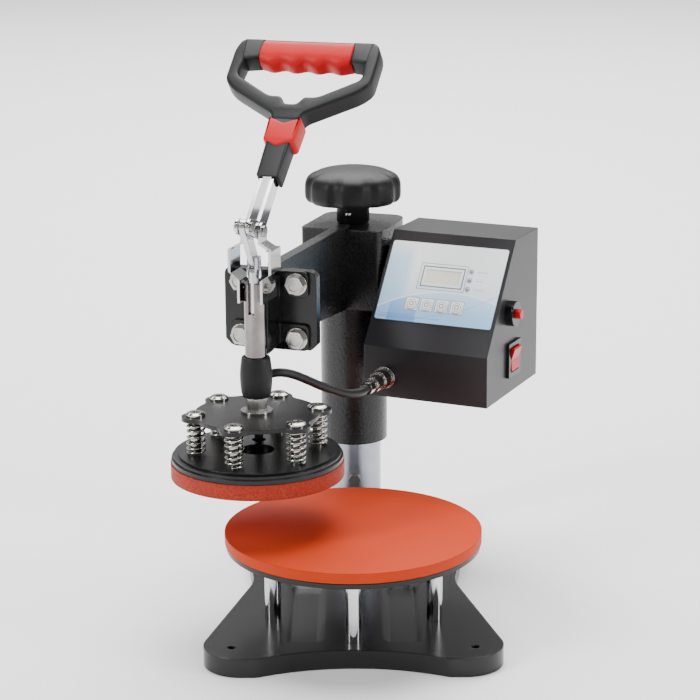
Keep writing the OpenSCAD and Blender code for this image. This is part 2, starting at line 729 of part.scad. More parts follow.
module lever_bars() color("gainsboro") at_pivot() difference() {
    for (s = [-1, 1]) translate([s * (bar_in + bar_out) / 2, 0, 0]) along_x(bar_t / 2) lever_side();
    translate([-20, 0, 0]) rotate([0, 90, 0]) cylinder(r = pin_a_r + run_gap, h = 40);
    translate([-20, pin_b_y, pin_b_z]) rotate([0, 90, 0]) cylinder(r = pin_b_r, h = 40);
}

module link_rivets() color("silver") at_pivot() translate([0, pin_b_y, pin_b_z])
    for (s = [0, 1]) mirror([s, 0, 0]) rotate([0, 90, 0]) {
        translate([0, 0, bar_in]) cylinder(r = pin_b_r, h = bar_t);
        translate([0, 0, bar_out]) cylinder(r = 4, h = 1.1);
    }

function d_side(w, t) = [[w - 4, t], [w, t - 10], [w, t - 42], [w - 8, t - 51], [13.5, frame_join],
    [11, collar_high - 1]];
function d_outer() = let (q = d_side(handle_half_w, handle_len))
    concat(q, [for (i = [len(q) - 1:-1:0]) [-q[i][0], q[i][1]]]);
function d_gap(w, t) = [[w - 2, t], [w, t - 20], [20, frame_join + 17.5], [9.5, frame_join + 17.5],
    [5, frame_join + 10]];
function d_inner() = let (q = d_gap(handle_half_w - 9, handle_len - 17))
    concat(q, [for (i = [len(q) - 1:-1:0]) [-q[i][0], q[i][1]]]);

module across_lever(t) rotate([90, 0, 0]) translate([0, 0, -t / 2]) linear_extrude(t) children();
module neck_plan() polygon([[-9, neck_start], [9, neck_start], [10.5, collar_high], [-10.5, collar_high]]);

module handle_frame() color("#2a2a2c") in_lever() difference() {
    union() {
        across_lever(handle_t) difference() {
            polygon(d_outer());
            polygon(d_inner());
        }
        across_lever(handle_t - 1) neck_plan();
    }
    translate([-bar_out, -7.05, 0]) cube([2 * bar_out, 30, collar_low]);
    translate([0, 0, collar_low - 1]) across_lever(14.1)
        polygon([[-bar_out, 0], [bar_out, 0], [bar_out, 29], [-bar_out, 29]]);
    translate([0, 0, grip_l]) rotate([0, 90, 0]) translate([0, 0, -grip_half_w])
        ring(17, grip_core_r, 2 * grip_half_w);
}

module hand_grip() color("#e23b45") in_lever() translate([0, 0, grip_l]) difference() {
    along_x(grip_half_w) hull() {
        circle(r = grip_r);
        translate([0, -6]) circle(r = grip_r - 2);
    }
    translate([-grip_half_w - 1, 0, 0]) rotate([0, 90, 0]) cylinder(r = grip_core_r, h = 2 * grip_half_w + 2);
    for (i = [-1.5:1.5]) translate([i * 18.5, 20, -grip_r - 11]) rotate([90, 0, 0]) cylinder(r = 10, h = 40);
}

module handle_collar() color("#e23b45") in_lever() difference() {
    across_lever(handle_t + 1.4) polygon([[-13.6, collar_high + 2], [0, collar_high - 4],
        [13.6, collar_high + 2], [12.9, collar_low + 2], [0, collar_low - 4], [-12.9, collar_low + 2]]);
    across_lever(handle_t) polygon(d_outer());
    across_lever(handle_t - 1) neck_plan();
    translate([0, 0, 60]) across_lever(14.2) polygon([[-6, 0], [6, 0], [6, 50], [-6, 50]]);
}

// ---- Link and plunger -------------------------------------------------------------------------

module toggle_link() color("gainsboro") on_rod() translate([0, 0, pin_c_z]) difference() {
    union() {
        along_x(link_t / 2) hull() {
            circle(r = link_r);
            translate([pin_b_y, pin_a_above_c + pin_b_z]) circle(r = 5.5);
        }
        translate([-bar_in + slip_gap, pin_b_y, pin_a_above_c + pin_b_z]) rotate([0, 90, 0])
            cylinder(r = pin_b_r, h = 2 * (bar_in - slip_gap));
    }
    translate([-5, 0, 0]) rotate([0, 90, 0]) cylinder(r = pin_c_r + run_gap, h = 10);
}

module plunger_rod() color("silver") on_rod() difference() {
    translate([0, 0, spider_z]) cylinder(r = rod_r, h = pin_c_z + 5 - spider_z);
    translate([-link_t / 2 - 0.2, -10, pin_c_z - 6.5]) cube([link_t + 0.4, 20, 20]);
    translate([-10, 0, pin_c_z]) rotate([0, 90, 0]) cylinder(r = pin_c_r, h = 20);
}

module plunger_pin() color("gray") on_rod() translate([-4.85, 0, pin_c_z]) rotate([0, 90, 0])
    cylinder(r = pin_c_r, h = 9.7);

module rubber_boot() color("#161617") on_rod() translate([0, 0, boot_z]) difference() {
    rotate_extrude() polygon(concat([[rod_r, 0], [boot_r - 2, 0]],
        [for (t = [0:0.1:1]) [boot_r - 1.6 + 1.6 * sin(180 * t), 1.2 + (boot_len - 2.4) * t]],
        [[barrel_r + 1, boot_len], [barrel_r + slip_gap, boot_len],
         [barrel_r + slip_gap, boot_len - boot_lap - 1], [rod_r, boot_len - boot_lap - 1]]));
}

module lock_nut() color("silver") on_rod() translate([0, 0, nut_z]) difference() {
    hex(nut_af, nut_t);
    translate([0, 0, -1]) cylinder(r = rod_r, h = nut_t + 2);
}

module flange_washer() color("silver") on_rod() translate([0, 0, spider_top]) ring(washer_r, rod_r, washer_t);

module spider_plan() offset(r = -9) offset(delta = 9) {
    circle(r = bolt_circle_r + 1);
    for (i = [0:5]) rotate(30 + 60 * i) translate([bolt_circle_r, 0]) circle(r = 11);
}

module spider_plate() color("#202022") on_rod() difference() {
    translate([0, 0, spider_z]) linear_extrude(spider_t) spider_plan();
    translate([0, 0, spider_z - 1]) cylinder(r = rod_r, h = spider_t + 2);
    translate([0, 0, spider_z - 1]) six() cylinder(r = shoulder_r + run_gap, h = spider_t + 2);
    translate([cable_drop[0], cable_drop[1], spider_z - 1]) cylinder(r = 5.5, h = spider_t + 2);
}

function coil(len_z, r, turns, steps) = [for (i = [0:turns * steps])
    [r * cos(360 * i / steps), r * sin(360 * i / steps), len_z * i / (turns * steps)]];

module platen_springs() color("gainsboro") on_rod() translate([0, 0, spring_z + wire_r + 0.1]) six()
    tube(coil(spring_len - 2 * wire_r - 0.2, spring_r - wire_r, spring_turns, 10), wire_r, 6, [1, 0, 0]);

module shoulder_bolts() color("gainsboro") on_rod() six() difference() {
    union() {
        translate([0, 0, heater_z + 1]) cylinder(r = shoulder_r, h = spider_top - heater_z);
        translate([0, 0, spider_top]) cylinder(r = shoulder_head_r, h = 2);
        translate([0, 0, spider_top + 2]) cylinder(r1 = shoulder_head_r, r2 = 5.6, h = 1.3, $fn = 48);
    }
    translate([0, 0, spider_top + 1.8]) hex(5, 3);
}

module cover_disc() color("#2b2b2e") on_rod() difference() {
    translate([0, 0, disc_z]) cylinder(r = upper_pad_r - 6, h = disc_t);
    translate([0, 0, disc_z - 1]) cylinder(r = 13.5, h = disc_t + 2);
    translate([0, 0, disc_z - 1]) six() cylinder(r = shoulder_r, h = disc_t + 2);
    translate([cable_drop[0], cable_drop[1], disc_z - 1]) cylinder(r = 5.5, h = disc_t + 2);
}

module heater_plate() color("#28282a") on_rod() difference() {
    union() {
        translate([0, 0, heater_z]) cylinder(r = upper_pad_r - 0.8, h = heater_t - 2.4);
        translate([0, 0, heater_z + heater_t - 2.6]) cylinder(r = upper_pad_r - 2.4, h = 2.6);
    }
    translate([0, 0, heater_z + 1]) six() cylinder(r = shoulder_r, h = heater_t);
    translate([0, 0, heater_z + 2]) cylinder(r = 13.5, h = heater_t);
    translate([cable_drop[0], cable_drop[1], heater_z + 2]) cylinder(r = 5.5, h = heater_t);
}

module upper_pad() color("#dc4a2c") on_rod() translate([0, 0, upper_pad_z])
    cylinder(r = upper_pad_r, h = upper_pad_t, $fn = 96);

base_plate();
column_post();
post_bolt();
support_posts();
platen_screws();
lower_plate();
lower_pad();
thrust_disc();
height_knob();
adjusting_screw();
column_sleeve();
sleeve_bushes();
head_bracket();
adjuster_nut();
arm_web();
mount_plate();
guide_block();
guide_barrel();
toggle_bracket();
bracket_pins();
clamp_bolts();
clamp_washers();
control_box();
back_cover();
cover_screws();
panel_overlay();
display_window();
panel_leds();
circuit_board();
transformer();
box_mount();
breaker_body();
breaker_button();
switch_housing();
power_rocker();
power_inlet();
cable_socket();
cable_plug();
heater_cable();
button_1();
button_2();
button_3();
button_4();
lever_bars();
handle_frame();
hand_grip();
handle_collar();
link_rivets();
toggle_link();
plunger_rod();
plunger_pin();
rubber_boot();
lock_nut();
flange_washer();
spider_plate();
platen_springs();
shoulder_bolts();
cover_disc();
heater_plate();
upper_pad();
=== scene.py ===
import bpy
import bmesh
import math
from mathutils import Matrix, Vector


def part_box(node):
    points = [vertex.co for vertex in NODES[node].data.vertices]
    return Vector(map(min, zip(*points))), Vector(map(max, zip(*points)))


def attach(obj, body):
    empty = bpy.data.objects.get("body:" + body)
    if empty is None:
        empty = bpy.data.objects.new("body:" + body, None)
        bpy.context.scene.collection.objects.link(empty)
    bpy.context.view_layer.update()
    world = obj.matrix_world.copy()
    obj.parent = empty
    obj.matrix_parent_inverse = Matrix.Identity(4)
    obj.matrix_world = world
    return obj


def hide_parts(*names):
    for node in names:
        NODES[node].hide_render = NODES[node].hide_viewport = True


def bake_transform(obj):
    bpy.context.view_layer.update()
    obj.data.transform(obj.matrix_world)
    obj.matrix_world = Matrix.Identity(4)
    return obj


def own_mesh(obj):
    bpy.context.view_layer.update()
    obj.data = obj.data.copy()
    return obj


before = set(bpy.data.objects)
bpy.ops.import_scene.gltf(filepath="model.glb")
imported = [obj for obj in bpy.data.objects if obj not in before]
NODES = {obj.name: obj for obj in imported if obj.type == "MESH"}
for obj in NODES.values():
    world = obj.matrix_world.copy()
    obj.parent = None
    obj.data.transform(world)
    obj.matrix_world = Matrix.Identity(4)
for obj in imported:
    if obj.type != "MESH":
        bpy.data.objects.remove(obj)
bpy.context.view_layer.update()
MM = 0.001
SWING = math.radians(18.6)        # the head stands this far to the left
TWIST = math.radians(18.6 + 5.7)  # the control box is turned a little further
ROD = (0, -232)                   # the plunger's axis, in the arm's frame


# ---- camera, seen a little from above, straight in front of the base ---------------------------
def rot_z(a):
    return Matrix.Rotation(-a, 4, "Z")


def arm(x, y, z):
    """A place in the arm's own frame, in mm, as a place in the world."""
    return rot_z(SWING) @ Vector((x * MM, y * MM, z * MM))


CAM_LENS = 114.80
CAM_AT = (0.01196, -1.87347, 0.67509)
CAM_TURN = (-15.02, -0.47, 0.40)  # pitch, yaw and roll in degrees
cam = bpy.data.cameras.new("camera")
cam.sensor_width = 36.0
cam.lens = CAM_LENS
cam.clip_start = 0.05
cam.clip_end = 20
co = bpy.data.objects.new("camera", cam)
bpy.context.collection.objects.link(co)
pitch, yaw, roll = (math.radians(a) for a in CAM_TURN)
fwd = Vector((math.sin(yaw) * math.cos(pitch), math.cos(yaw) * math.cos(pitch), math.sin(pitch)))
right = Vector((math.cos(yaw), -math.sin(yaw), 0))
up = right.cross(fwd)
r2 = right * math.cos(roll) - up * math.sin(roll)
u2 = up * math.cos(roll) + right * math.sin(roll)
m = Matrix.Identity(4)
for i in range(3):
    m[i][0], m[i][1], m[i][2] = r2[i], u2[i], -fwd[i]
m.translation = Vector(CAM_AT)
co.matrix_world = m
bpy.context.scene.camera = co


# ---- materials -----------------------------------------------------------------------------------
def base_material(name):
    mat = bpy.data.materials.new(name)
    mat.use_nodes = True
    nt = mat.node_tree
    bsdf = nt.nodes["Principled BSDF"]
    return mat, nt, bsdf


def roughness_from(nt, bsdf, fac, lo, hi):
    rr = nt.nodes.new("ShaderNodeMapRange")
    rr.inputs["To Min"].default_value = lo
    rr.inputs["To Max"].default_value = hi
    nt.links.new(fac, rr.inputs["Value"])
    nt.links.new(rr.outputs["Result"], bsdf.inputs["Roughness"])


def surface(name, color, rough=0.4, metal=0.0, grain=300.0, grain_bump=0.0, spread=0.08, coat=0.0,
            round_mm=0.6, second=None, mix_scale=12.0, rough_spread=0.06, stretch=None, spec=0.5):
    """Two slow tones, fine grain in the roughness and the bump, and softened edges."""
    mat, nt, bsdf = base_material(name)
    n, link = nt.nodes, nt.links
    coord = n.new("ShaderNodeTexCoord")
    space = coord.outputs["Object"]
    if stretch:
        mp = n.new("ShaderNodeMapping")
        mp.inputs["Scale"].default_value = stretch
        link.new(space, mp.inputs["Vector"])
        space = mp.outputs["Vector"]
    slow = n.new("ShaderNodeTexNoise")
    slow.inputs["Scale"].default_value = mix_scale
    slow.inputs["Detail"].default_value = 4.0
    link.new(coord.outputs["Object"], slow.inputs["Vector"])
    ramp = n.new("ShaderNodeValToRGB")
    lo = [max(0.0, c * (1 - spread)) for c in color]
    hi = second if second else [min(1.0, c * (1 + spread) + 0.002) for c in color]
    ramp.color_ramp.elements[0].position = 0.35
    ramp.color_ramp.elements[1].position = 0.65
    ramp.color_ramp.elements[0].color = (*lo, 1)
    ramp.color_ramp.elements[1].color = (*hi, 1)
    link.new(slow.outputs["Fac"], ramp.inputs["Fac"])
    link.new(ramp.outputs["Color"], bsdf.inputs["Base Color"])
    fine = n.new("ShaderNodeTexNoise")
    fine.inputs["Scale"].default_value = grain
    fine.inputs["Detail"].default_value = 3.0
    link.new(space, fine.inputs["Vector"])
    roughness_from(nt, bsdf, fine.outputs["Fac"],
                   max(0.02, rough - rough_spread), min(1.0, rough + rough_spread))
    bsdf.inputs["Metallic"].default_value = metal
    bsdf.inputs["Specular IOR Level"].default_value = spec
    if coat:
        bsdf.inputs["Coat Weight"].default_value = coat
        bsdf.inputs["Coat Roughness"].default_value = 0.12
    soft = n.new("ShaderNodeBevel")
    soft.samples = 4
    soft.inputs["Radius"].default_value = round_mm * MM
    bump = n.new("ShaderNodeBump")
    bump.inputs["Strength"].default_value = min(1.0, 0.25 + grain_bump)
    bump.inputs["Distance"].default_value = max(0.00001, grain_bump * 0.0004)
    link.new(soft.outputs["Normal"], bump.inputs["Normal"])
    link.new(fine.outputs["Fac"], bump.inputs["Height"])
    link.new(bump.outputs["Normal"], bsdf.inputs["Normal"])
    return mat


CAST = surface("cast black enamel", (0.0032, 0.0032, 0.0036), 0.24, grain=260, grain_bump=0.10, round_mm=1.6,
               spread=0.3, spec=0.42)
PLATE = surface("black enamel plate", (0.0040, 0.0040, 0.0044), 0.30, grain=420, grain_bump=0.08,
                round_mm=0.8, spread=0.25, spec=0.34)
WRINKLE = surface("black wrinkle paint", (0.0040, 0.0040, 0.0046), 0.30, grain=520, grain_bump=1.1,
                  round_mm=1.6, spread=0.3,
                  rough_spread=0.12, spec=0.42)
BOX = surface("satin black sheet", (0.0110, 0.0102, 0.0128), 0.36, grain=1400, grain_bump=0.10, round_mm=1.0,
              spread=0.12, spec=0.42)
CHROME = surface("bright chrome", (0.60, 0.60, 0.62), 0.10, 1.0, grain=500, grain_bump=0.02, round_mm=0.5,
                 rough_spread=0.05, mix_scale=40)
POST = surface("ground steel post", (0.34, 0.35, 0.40), 0.24, 1.0, grain=120, grain_bump=0.03, round_mm=0.5,
               stretch=(1, 1, 14),
               mix_scale=30, spread=0.14)
NICKEL = surface("nickel plated steel", (0.44, 0.43, 0.40), 0.18, 1.0, grain=600, grain_bump=0.06,
                 round_mm=0.4, mix_scale=70, spread=0.16)
BARREL = surface("polished barrel", (0.23, 0.205, 0.20), 0.10, 1.0, grain=160, grain_bump=0.02, round_mm=0.5,
                 stretch=(1, 1, 0.05),
                 mix_scale=60, rough_spread=0.05, spread=0.2)
STEEL = surface("machined steel", (0.40, 0.40, 0.42), 0.32, 1.0, grain=500, grain_bump=0.06, round_mm=0.4,
                stretch=(1, 1, 9))
BRONZE = surface("sintered bronze", (0.44, 0.27, 0.12), 0.42, 1.0, grain=900, grain_bump=0.2)
SILICONE = surface("orange silicone", (0.47, 0.034, 0.003), 0.55, grain=900, grain_bump=0.10, round_mm=1.0,
                   spread=0.05, mix_scale=9, spec=0.12)
EDGE_SILICONE = surface("speckled red silicone", (0.26, 0.014, 0.004), 0.60, grain=1500, grain_bump=0.6,
                        round_mm=1.2,
                        second=(0.40, 0.030, 0.009), mix_scale=700, spread=0.18, spec=0.25)
GRIP = surface("red soft grip", (0.52, 0.006, 0.010), 0.42, grain=1500, grain_bump=0.16, round_mm=1.2,
               spread=0.05, spec=0.15)
RUBBER = surface("black rubber", (0.0045, 0.0045, 0.0050), 0.50, grain=800, grain_bump=0.2, round_mm=1.0,
                 spread=0.2, spec=0.3)
HANDLE = surface("matt black moulding", (0.0062, 0.0064, 0.0074), 0.46, grain=1700, grain_bump=0.30,
                 round_mm=1.0, spread=0.12, spec=0.28)
KNOB = surface("grained black moulding", (0.0032, 0.0032, 0.0037), 0.46, grain=1100, grain_bump=0.5,
               round_mm=1.2, spread=0.2, spec=0.26)
CABLE = surface("cable jacket", (0.007, 0.0068, 0.0070), 0.45, grain=900, grain_bump=0.25, round_mm=0.4,
                spread=0.25, mix_scale=60, spec=0.35)
LCD = surface("display window", (0.80, 0.77, 0.68), 0.30, grain=900, grain_bump=0.02, spread=0.03)
LAMP = surface("indicator lens", (0.34, 0.34, 0.36), 0.25, grain=900, grain_bump=0.03, coat=0.4)
BOARD = surface("green solder mask", (0.02, 0.12, 0.04), 0.4, grain=900, grain_bump=0.1)
COPPER = surface("copper winding", (0.50, 0.22, 0.09), 0.36, 0.9, grain=900, grain_bump=0.3)
RED = surface("glossy red", (0.50, 0.003, 0.006), 0.30, grain=700, grain_bump=0.03, spread=0.06, spec=0.25)
BLACK = surface("glossy black", (0.0035, 0.0035, 0.0040), 0.22, grain=900, grain_bump=0.05, spread=0.2,
                spec=0.4)


# ---- printed panel ---------------------------------------------------------------------------
BOX_AT = (42.7, -73.3, 157)           # the control box's lower front corner, before its turn
SLOPE_FOOT = 42.5                     # height of the sloping face's lower edge above that
SLOPE_RISE, SLOPE_RUN = 85.5, 63.5
PANEL_EDGE = (3.1, 106.4, 24.6, 96.4)  # left, right, lower and upper edge, along the slope
KEY_X, KEY_V, KEY_HALF = (33, 46.4, 59.8, 73.2), 40.7, 6.0
LAMP_U, LAMP_V, LAMP_RING = 78.2, (58, 66, 74), 2.1
ARC_AT, ARC_R = (66.0, -66.0), 119.0
SWEEP_AT, SWEEP_R = (20.0, 178.0), 150.5
WINDOW_FRAMES = ((33.2, 75.4, 54.6, 78.4, 0.5), (35.6, 73.0, 57.0, 76.0, 1.1))  # four edges and the line
GREY_INK = (0.035, 0.037, 0.040)


class Maths:
    """Writes shader maths as nodes: distances and soft edges in the panel's own mm."""

    def __init__(self, nt):
        self.nt = nt

    def op(self, kind, *args, clamp=False):
        n = self.nt.nodes.new("ShaderNodeMath")
        n.operation = kind
        n.use_clamp = clamp
        for i, a in enumerate(args):
            if isinstance(a, (int, float)):
                n.inputs[i].default_value = a
            else:
                self.nt.links.new(a, n.inputs[i])
        return n.outputs[0]

    def step(self, x, edge, soft):
        return self.op("MULTIPLY_ADD", self.op("SUBTRACT", x, edge), 1.0 / soft, 0.5, clamp=True)

    def under(self, x, edge, soft):
        return self.op("SUBTRACT", 1.0, self.step(x, edge, soft))

    def line(self, x, middle, half, soft):
        return self.under(self.op("ABSOLUTE", self.op("SUBTRACT", x, middle)), half, soft)

    def inside(self, x, a, b, soft=0.25):
        return self.op("MULTIPLY", self.step(x, a, soft), self.under(x, b, soft))

    def rect(self, u, v, a, b, c, d, soft=0.25):
        return self.op("MULTIPLY", self.inside(u, a, b, soft), self.inside(v, c, d, soft))

    def dist(self, u, v, a, b):
        x, y = self.op("SUBTRACT", u, a), self.op("SUBTRACT", v, b)
        return self.op("SQRT", self.op("ADD", self.op("MULTIPLY", x, x), self.op("MULTIPLY", y, y)))

    def mix(self, fac, a, b):
        n = self.nt.nodes.new("ShaderNodeMix")
        n.data_type = "RGBA"
        for value, sock in ((fac, n.inputs[0]), (a, n.inputs[6]), (b, n.inputs[7])):
            if isinstance(value, (int, float)):
                sock.default_value = value
            elif isinstance(value, tuple):
                sock.default_value = (*value, 1)
            else:
                self.nt.links.new(value, sock)
        return n.outputs[2]


def panel_uv(nt):
    """Millimetres across and up the sloping face of the control box."""
    coord = nt.nodes.new("ShaderNodeTexCoord")
    foot = Matrix.Translation((BOX_AT[0] * MM, BOX_AT[1] * MM, (BOX_AT[2] + SLOPE_FOOT) * MM))
    place = rot_z(TWIST) @ foot @ Matrix.Rotation(math.atan2(SLOPE_RISE, SLOPE_RUN), 4, "X")
    mp = nt.nodes.new("ShaderNodeMapping")
    mp.vector_type = "TEXTURE"
    mp.inputs["Location"].default_value = place.translation
    mp.inputs["Rotation"].default_value = place.to_euler("XYZ")
    mp.inputs["Scale"].default_value = (MM, MM, MM)
    nt.links.new(coord.outputs["Object"], mp.inputs["Vector"])
    sep = nt.nodes.new("ShaderNodeSeparateXYZ")
    nt.links.new(mp.outputs["Vector"], sep.inputs[0])
    return mp.outputs["Vector"], sep.outputs[0], sep.outputs[1]


def key_material():
    mat, nt, bsdf = base_material("membrane key")
    vec, u, v = panel_uv(nt)
    k = Maths(nt)
    noise = nt.nodes.new("ShaderNodeTexNoise")
    noise.inputs["Scale"].default_value = 1.5
    nt.links.new(vec, noise.inputs["Vector"])
    col = k.mix(k.op("MULTIPLY", noise.outputs["Fac"], 0.3), (0.93, 0.94, 0.95), (0.82, 0.85, 0.88))
    near = None
    for x in KEY_X:
        d = k.dist(u, v, x, KEY_V)
        near = d if near is None else k.op("MINIMUM", near, d)
    for r, w in ((1.7, 0.36), (3.6, 0.22)):
        ring = k.line(near, r, w, 0.3)
        col = k.mix(k.op("MULTIPLY", ring, 0.85), col, (0.045, 0.047, 0.05))
    nt.links.new(col, bsdf.inputs["Base Color"])
    roughness_from(nt, bsdf, noise.outputs["Fac"], 0.3, 0.42)
    return mat


def panel_material():
    mat, nt, bsdf = base_material("printed panel")
    vec, u, v = panel_uv(nt)
    k = Maths(nt)
    noise = nt.nodes.new("ShaderNodeTexNoise")
    noise.inputs["Scale"].default_value = 0.03
    nt.links.new(vec, noise.inputs["Vector"])
    drift = k.op("MULTIPLY", noise.outputs["Fac"], 0.1)
    fall = k.op("MULTIPLY_ADD", k.op("SUBTRACT", 92, v), 1 / 60.0, drift, clamp=True)
    white, sky, blue, deep = (0.97, 0.99, 1.0), (0.34, 0.66, 0.92), (0.16, 0.46, 0.88), (0.012, 0.16, 0.66)
    col = k.mix(k.op("POWER", fall, 2.2), white, (0.50, 0.74, 0.96))
    left = k.op("MULTIPLY", k.under(u, 24, 7), k.inside(v, 38, 90, 16))
    col = k.mix(k.op("MULTIPLY", left, 0.62), col, sky)
    arc_d = k.dist(u, v, *ARC_AT)
    below = k.under(arc_d, ARC_R, 1.2)
    fade = k.under(v, 34, 40)
    col = k.mix(k.op("MULTIPLY", below, k.op("MULTIPLY_ADD", fade, 0.4, 0.2)), col, blue)
    block = k.rect(u, v, 13.5, 38.5, 24, 48, 0.5)
    under_arc = k.op("MULTIPLY", block, below)
    col = k.mix(k.op("MULTIPLY", under_arc, k.op("MULTIPLY_ADD", fade, 0.55, 0.12)), col, deep)
    arc_line = k.line(arc_d, ARC_R + 0.6, 0.5, 0.5)
    col = k.mix(k.op("MULTIPLY", arc_line, 0.9), col, (0.96, 0.98, 1.0))
    for dash_v, end in ((26.8, 40), (28.2, 60), (30.0, 34)):
        dash = k.rect(u, v, 6, end, dash_v, dash_v + 0.45, 0.3)
        col = k.mix(k.op("MULTIPLY", dash, 0.6), col, (0.03, 0.13, 0.42))
    sweep = k.line(k.dist(u, v, *SWEEP_AT), SWEEP_R, 0.5, 0.8)
    col = k.mix(k.op("MULTIPLY", sweep, 0.35), col, (0.12, 0.36, 0.75))
    for a, b, c, d, w in WINDOW_FRAMES:
        ring = k.op("SUBTRACT", k.rect(u, v, a, b, c, d), k.rect(u, v, a + w, b - w, c + w, d - w))
        col = k.mix(k.op("MULTIPLY", ring, 0.85), col, GREY_INK)
    for x in KEY_X:
        h, g = KEY_HALF, KEY_HALF - 0.5
        ground = k.rect(u, v, x - h, x + h, KEY_V - h, KEY_V + h, 0.5)
        col = k.mix(k.op("MULTIPLY", ground, 0.85), col, (0.93, 0.95, 0.97))
        edge = k.op("SUBTRACT", ground, k.rect(u, v, x - g, x + g, KEY_V - g, KEY_V + g, 0.3))
        col = k.mix(k.op("MULTIPLY", edge, 0.8), col, GREY_INK)
    for y in LAMP_V:
        ring = k.line(k.dist(u, v, LAMP_U, y), LAMP_RING, 0.25, 0.3)
        col = k.mix(k.op("MULTIPLY", ring, 0.75), col, GREY_INK)
        dash = k.rect(u, v, 84.0, 90.0 if y == LAMP_V[1] else 93.0, y - 0.6, y + 0.6, 0.8)
        col = k.mix(k.op("MULTIPLY", dash, 0.45), col, (0.3, 0.32, 0.34))
    border = k.op("SUBTRACT", 1.0, k.rect(u, v, *PANEL_EDGE, 0.3))
    col = k.mix(border, col, (0.04, 0.04, 0.05))
    nt.links.new(col, bsdf.inputs["Base Color"])
    fine = nt.nodes.new("ShaderNodeTexNoise")
    fine.inputs["Scale"].default_value = 2.0
    nt.links.new(vec, fine.inputs["Vector"])
    roughness_from(nt, bsdf, fine.outputs["Fac"], 0.24, 0.36)
    bump = nt.nodes.new("ShaderNodeBump")
    bump.inputs["Strength"].default_value = 0.2
    bump.inputs["Distance"].default_value = 0.00002
    nt.links.new(fine.outputs["Fac"], bump.inputs["Height"])
    nt.links.new(bump.outputs["Normal"], bsdf.inputs["Normal"])
    return mat


KEY = key_material()
PANEL = panel_material()

USE = {
    "base_plate": CAST, "lower_plate": PLATE, "mount_plate": CAST, "guide_block": CAST, "heater_plate": PLATE,
    "cover_disc": PLATE, "spider_plate": PLATE, "column_sleeve": WRINKLE, "head_bracket": WRINKLE,
    "arm_web": WRINKLE, "box_mount": WRINKLE, "control_box": BOX, "back_cover": BOX, "column_post": POST,
    "support_posts": CHROME, "guide_barrel": BARREL, "toggle_bracket": CHROME, "plunger_rod": CHROME,
    "lever_bars": CHROME, "toggle_link": CHROME, "post_bolt": NICKEL, "clamp_bolts": NICKEL,
    "clamp_washers": NICKEL, "shoulder_bolts": NICKEL, "lock_nut": NICKEL, "flange_washer": NICKEL,
    "cable_socket": NICKEL, "cable_plug": NICKEL, "cover_screws": NICKEL, "bracket_pins": NICKEL,
    "link_rivets": NICKEL, "thrust_disc": STEEL, "adjusting_screw": STEEL, "adjuster_nut": STEEL,
    "plunger_pin": STEEL, "platen_screws": STEEL, "sleeve_bushes": BRONZE, "lower_pad": SILICONE,
    "upper_pad": EDGE_SILICONE, "handle_frame": HANDLE, "handle_collar": GRIP, "hand_grip": GRIP,
    "rubber_boot": RUBBER, "height_knob": KNOB, "display_window": LCD, "panel_leds": LAMP,
    "circuit_board": BOARD, "transformer": COPPER, "breaker_button": RED, "power_rocker": RED,
    "breaker_body": BLACK, "switch_housing": BLACK, "power_inlet": BLACK, "button_1": KEY, "button_2": KEY,
    "button_3": KEY, "button_4": KEY, "panel_overlay": PANEL, "heater_cable": CABLE, "platen_springs": NICKEL,
}
for name, obj in NODES.items():
    obj.data.materials.clear()
    obj.data.materials.append(USE[name])


# ---- mesh helpers --------------------------------------------------------------------------------
def add_mesh(name, verts, faces, mat):
    me = bpy.data.meshes.new(name)
    me.from_pydata([tuple(v) for v in verts], [], faces)
    me.validate()
    me.update()
    me.materials.append(mat)
    for p in me.polygons:
        p.use_smooth = True
    ob = bpy.data.objects.new(name, me)
    bpy.context.collection.objects.link(ob)
    bm = bmesh.new()
    bm.from_mesh(me)
    bmesh.ops.recalc_face_normals(bm, faces=bm.faces)
    bm.to_mesh(me)
    bm.free()
    return ob


def apply_all(ob):
    """Turn the object's modifiers into plain mesh."""
    bpy.context.view_layer.update()
    dg = bpy.context.evaluated_depsgraph_get()
    me = bpy.data.meshes.new_from_object(ob.evaluated_get(dg))
    ob.modifiers.clear()
    ob.data = me
    return ob


def tube(name, points, radius, sides, mat, first=Vector((0, 0, 1))):
    """A round rod along points in metres; the first side direction is carried along it."""
    pts = [Vector(p) for p in points]
    verts, faces = [], []
    side = None
    for i, p in enumerate(pts):
        t = (pts[min(i + 1, len(pts) - 1)] - pts[max(i - 1, 0)]).normalized()
        side = first if side is None else side
        side = (side - side.dot(t) * t).normalized()
        other = t.cross(side)
        for k in range(sides):
            a = 2 * math.pi * k / sides
            verts.append(p + radius * (math.cos(a) * side + math.sin(a) * other))
    for i in range(len(pts) - 1):
        for k in range(sides):
            a, b = i * sides + k, i * sides + (k + 1) % sides
            faces.append((a, b, b + sides, a + sides))
    faces.append(tuple(reversed(range(sides))))
    faces.append(tuple(range((len(pts) - 1) * sides, len(pts) * sides)))
    return add_mesh(name, verts, faces, mat)


def smooth_path(p, n):
    """A Catmull-Rom curve through the points, with n steps to each stretch."""
    out = []
    for i in range(len(p) - 1):
        a, b, c, d = p[max(i - 1, 0)], p[i], p[i + 1], p[min(i + 2, len(p) - 1)]
        for k in range(n):
            t = k / n
            out.append([0.5 * (2 * b[j] + (c[j] - a[j]) * t + (2 * a[j] - 5 * b[j] + 4 * c[j] - d[j]) * t * t
                               + (3 * b[j] - a[j] - 3 * c[j] + d[j]) * t ** 3) for j in range(3)])
    out.append(list(p[-1]))
    return out


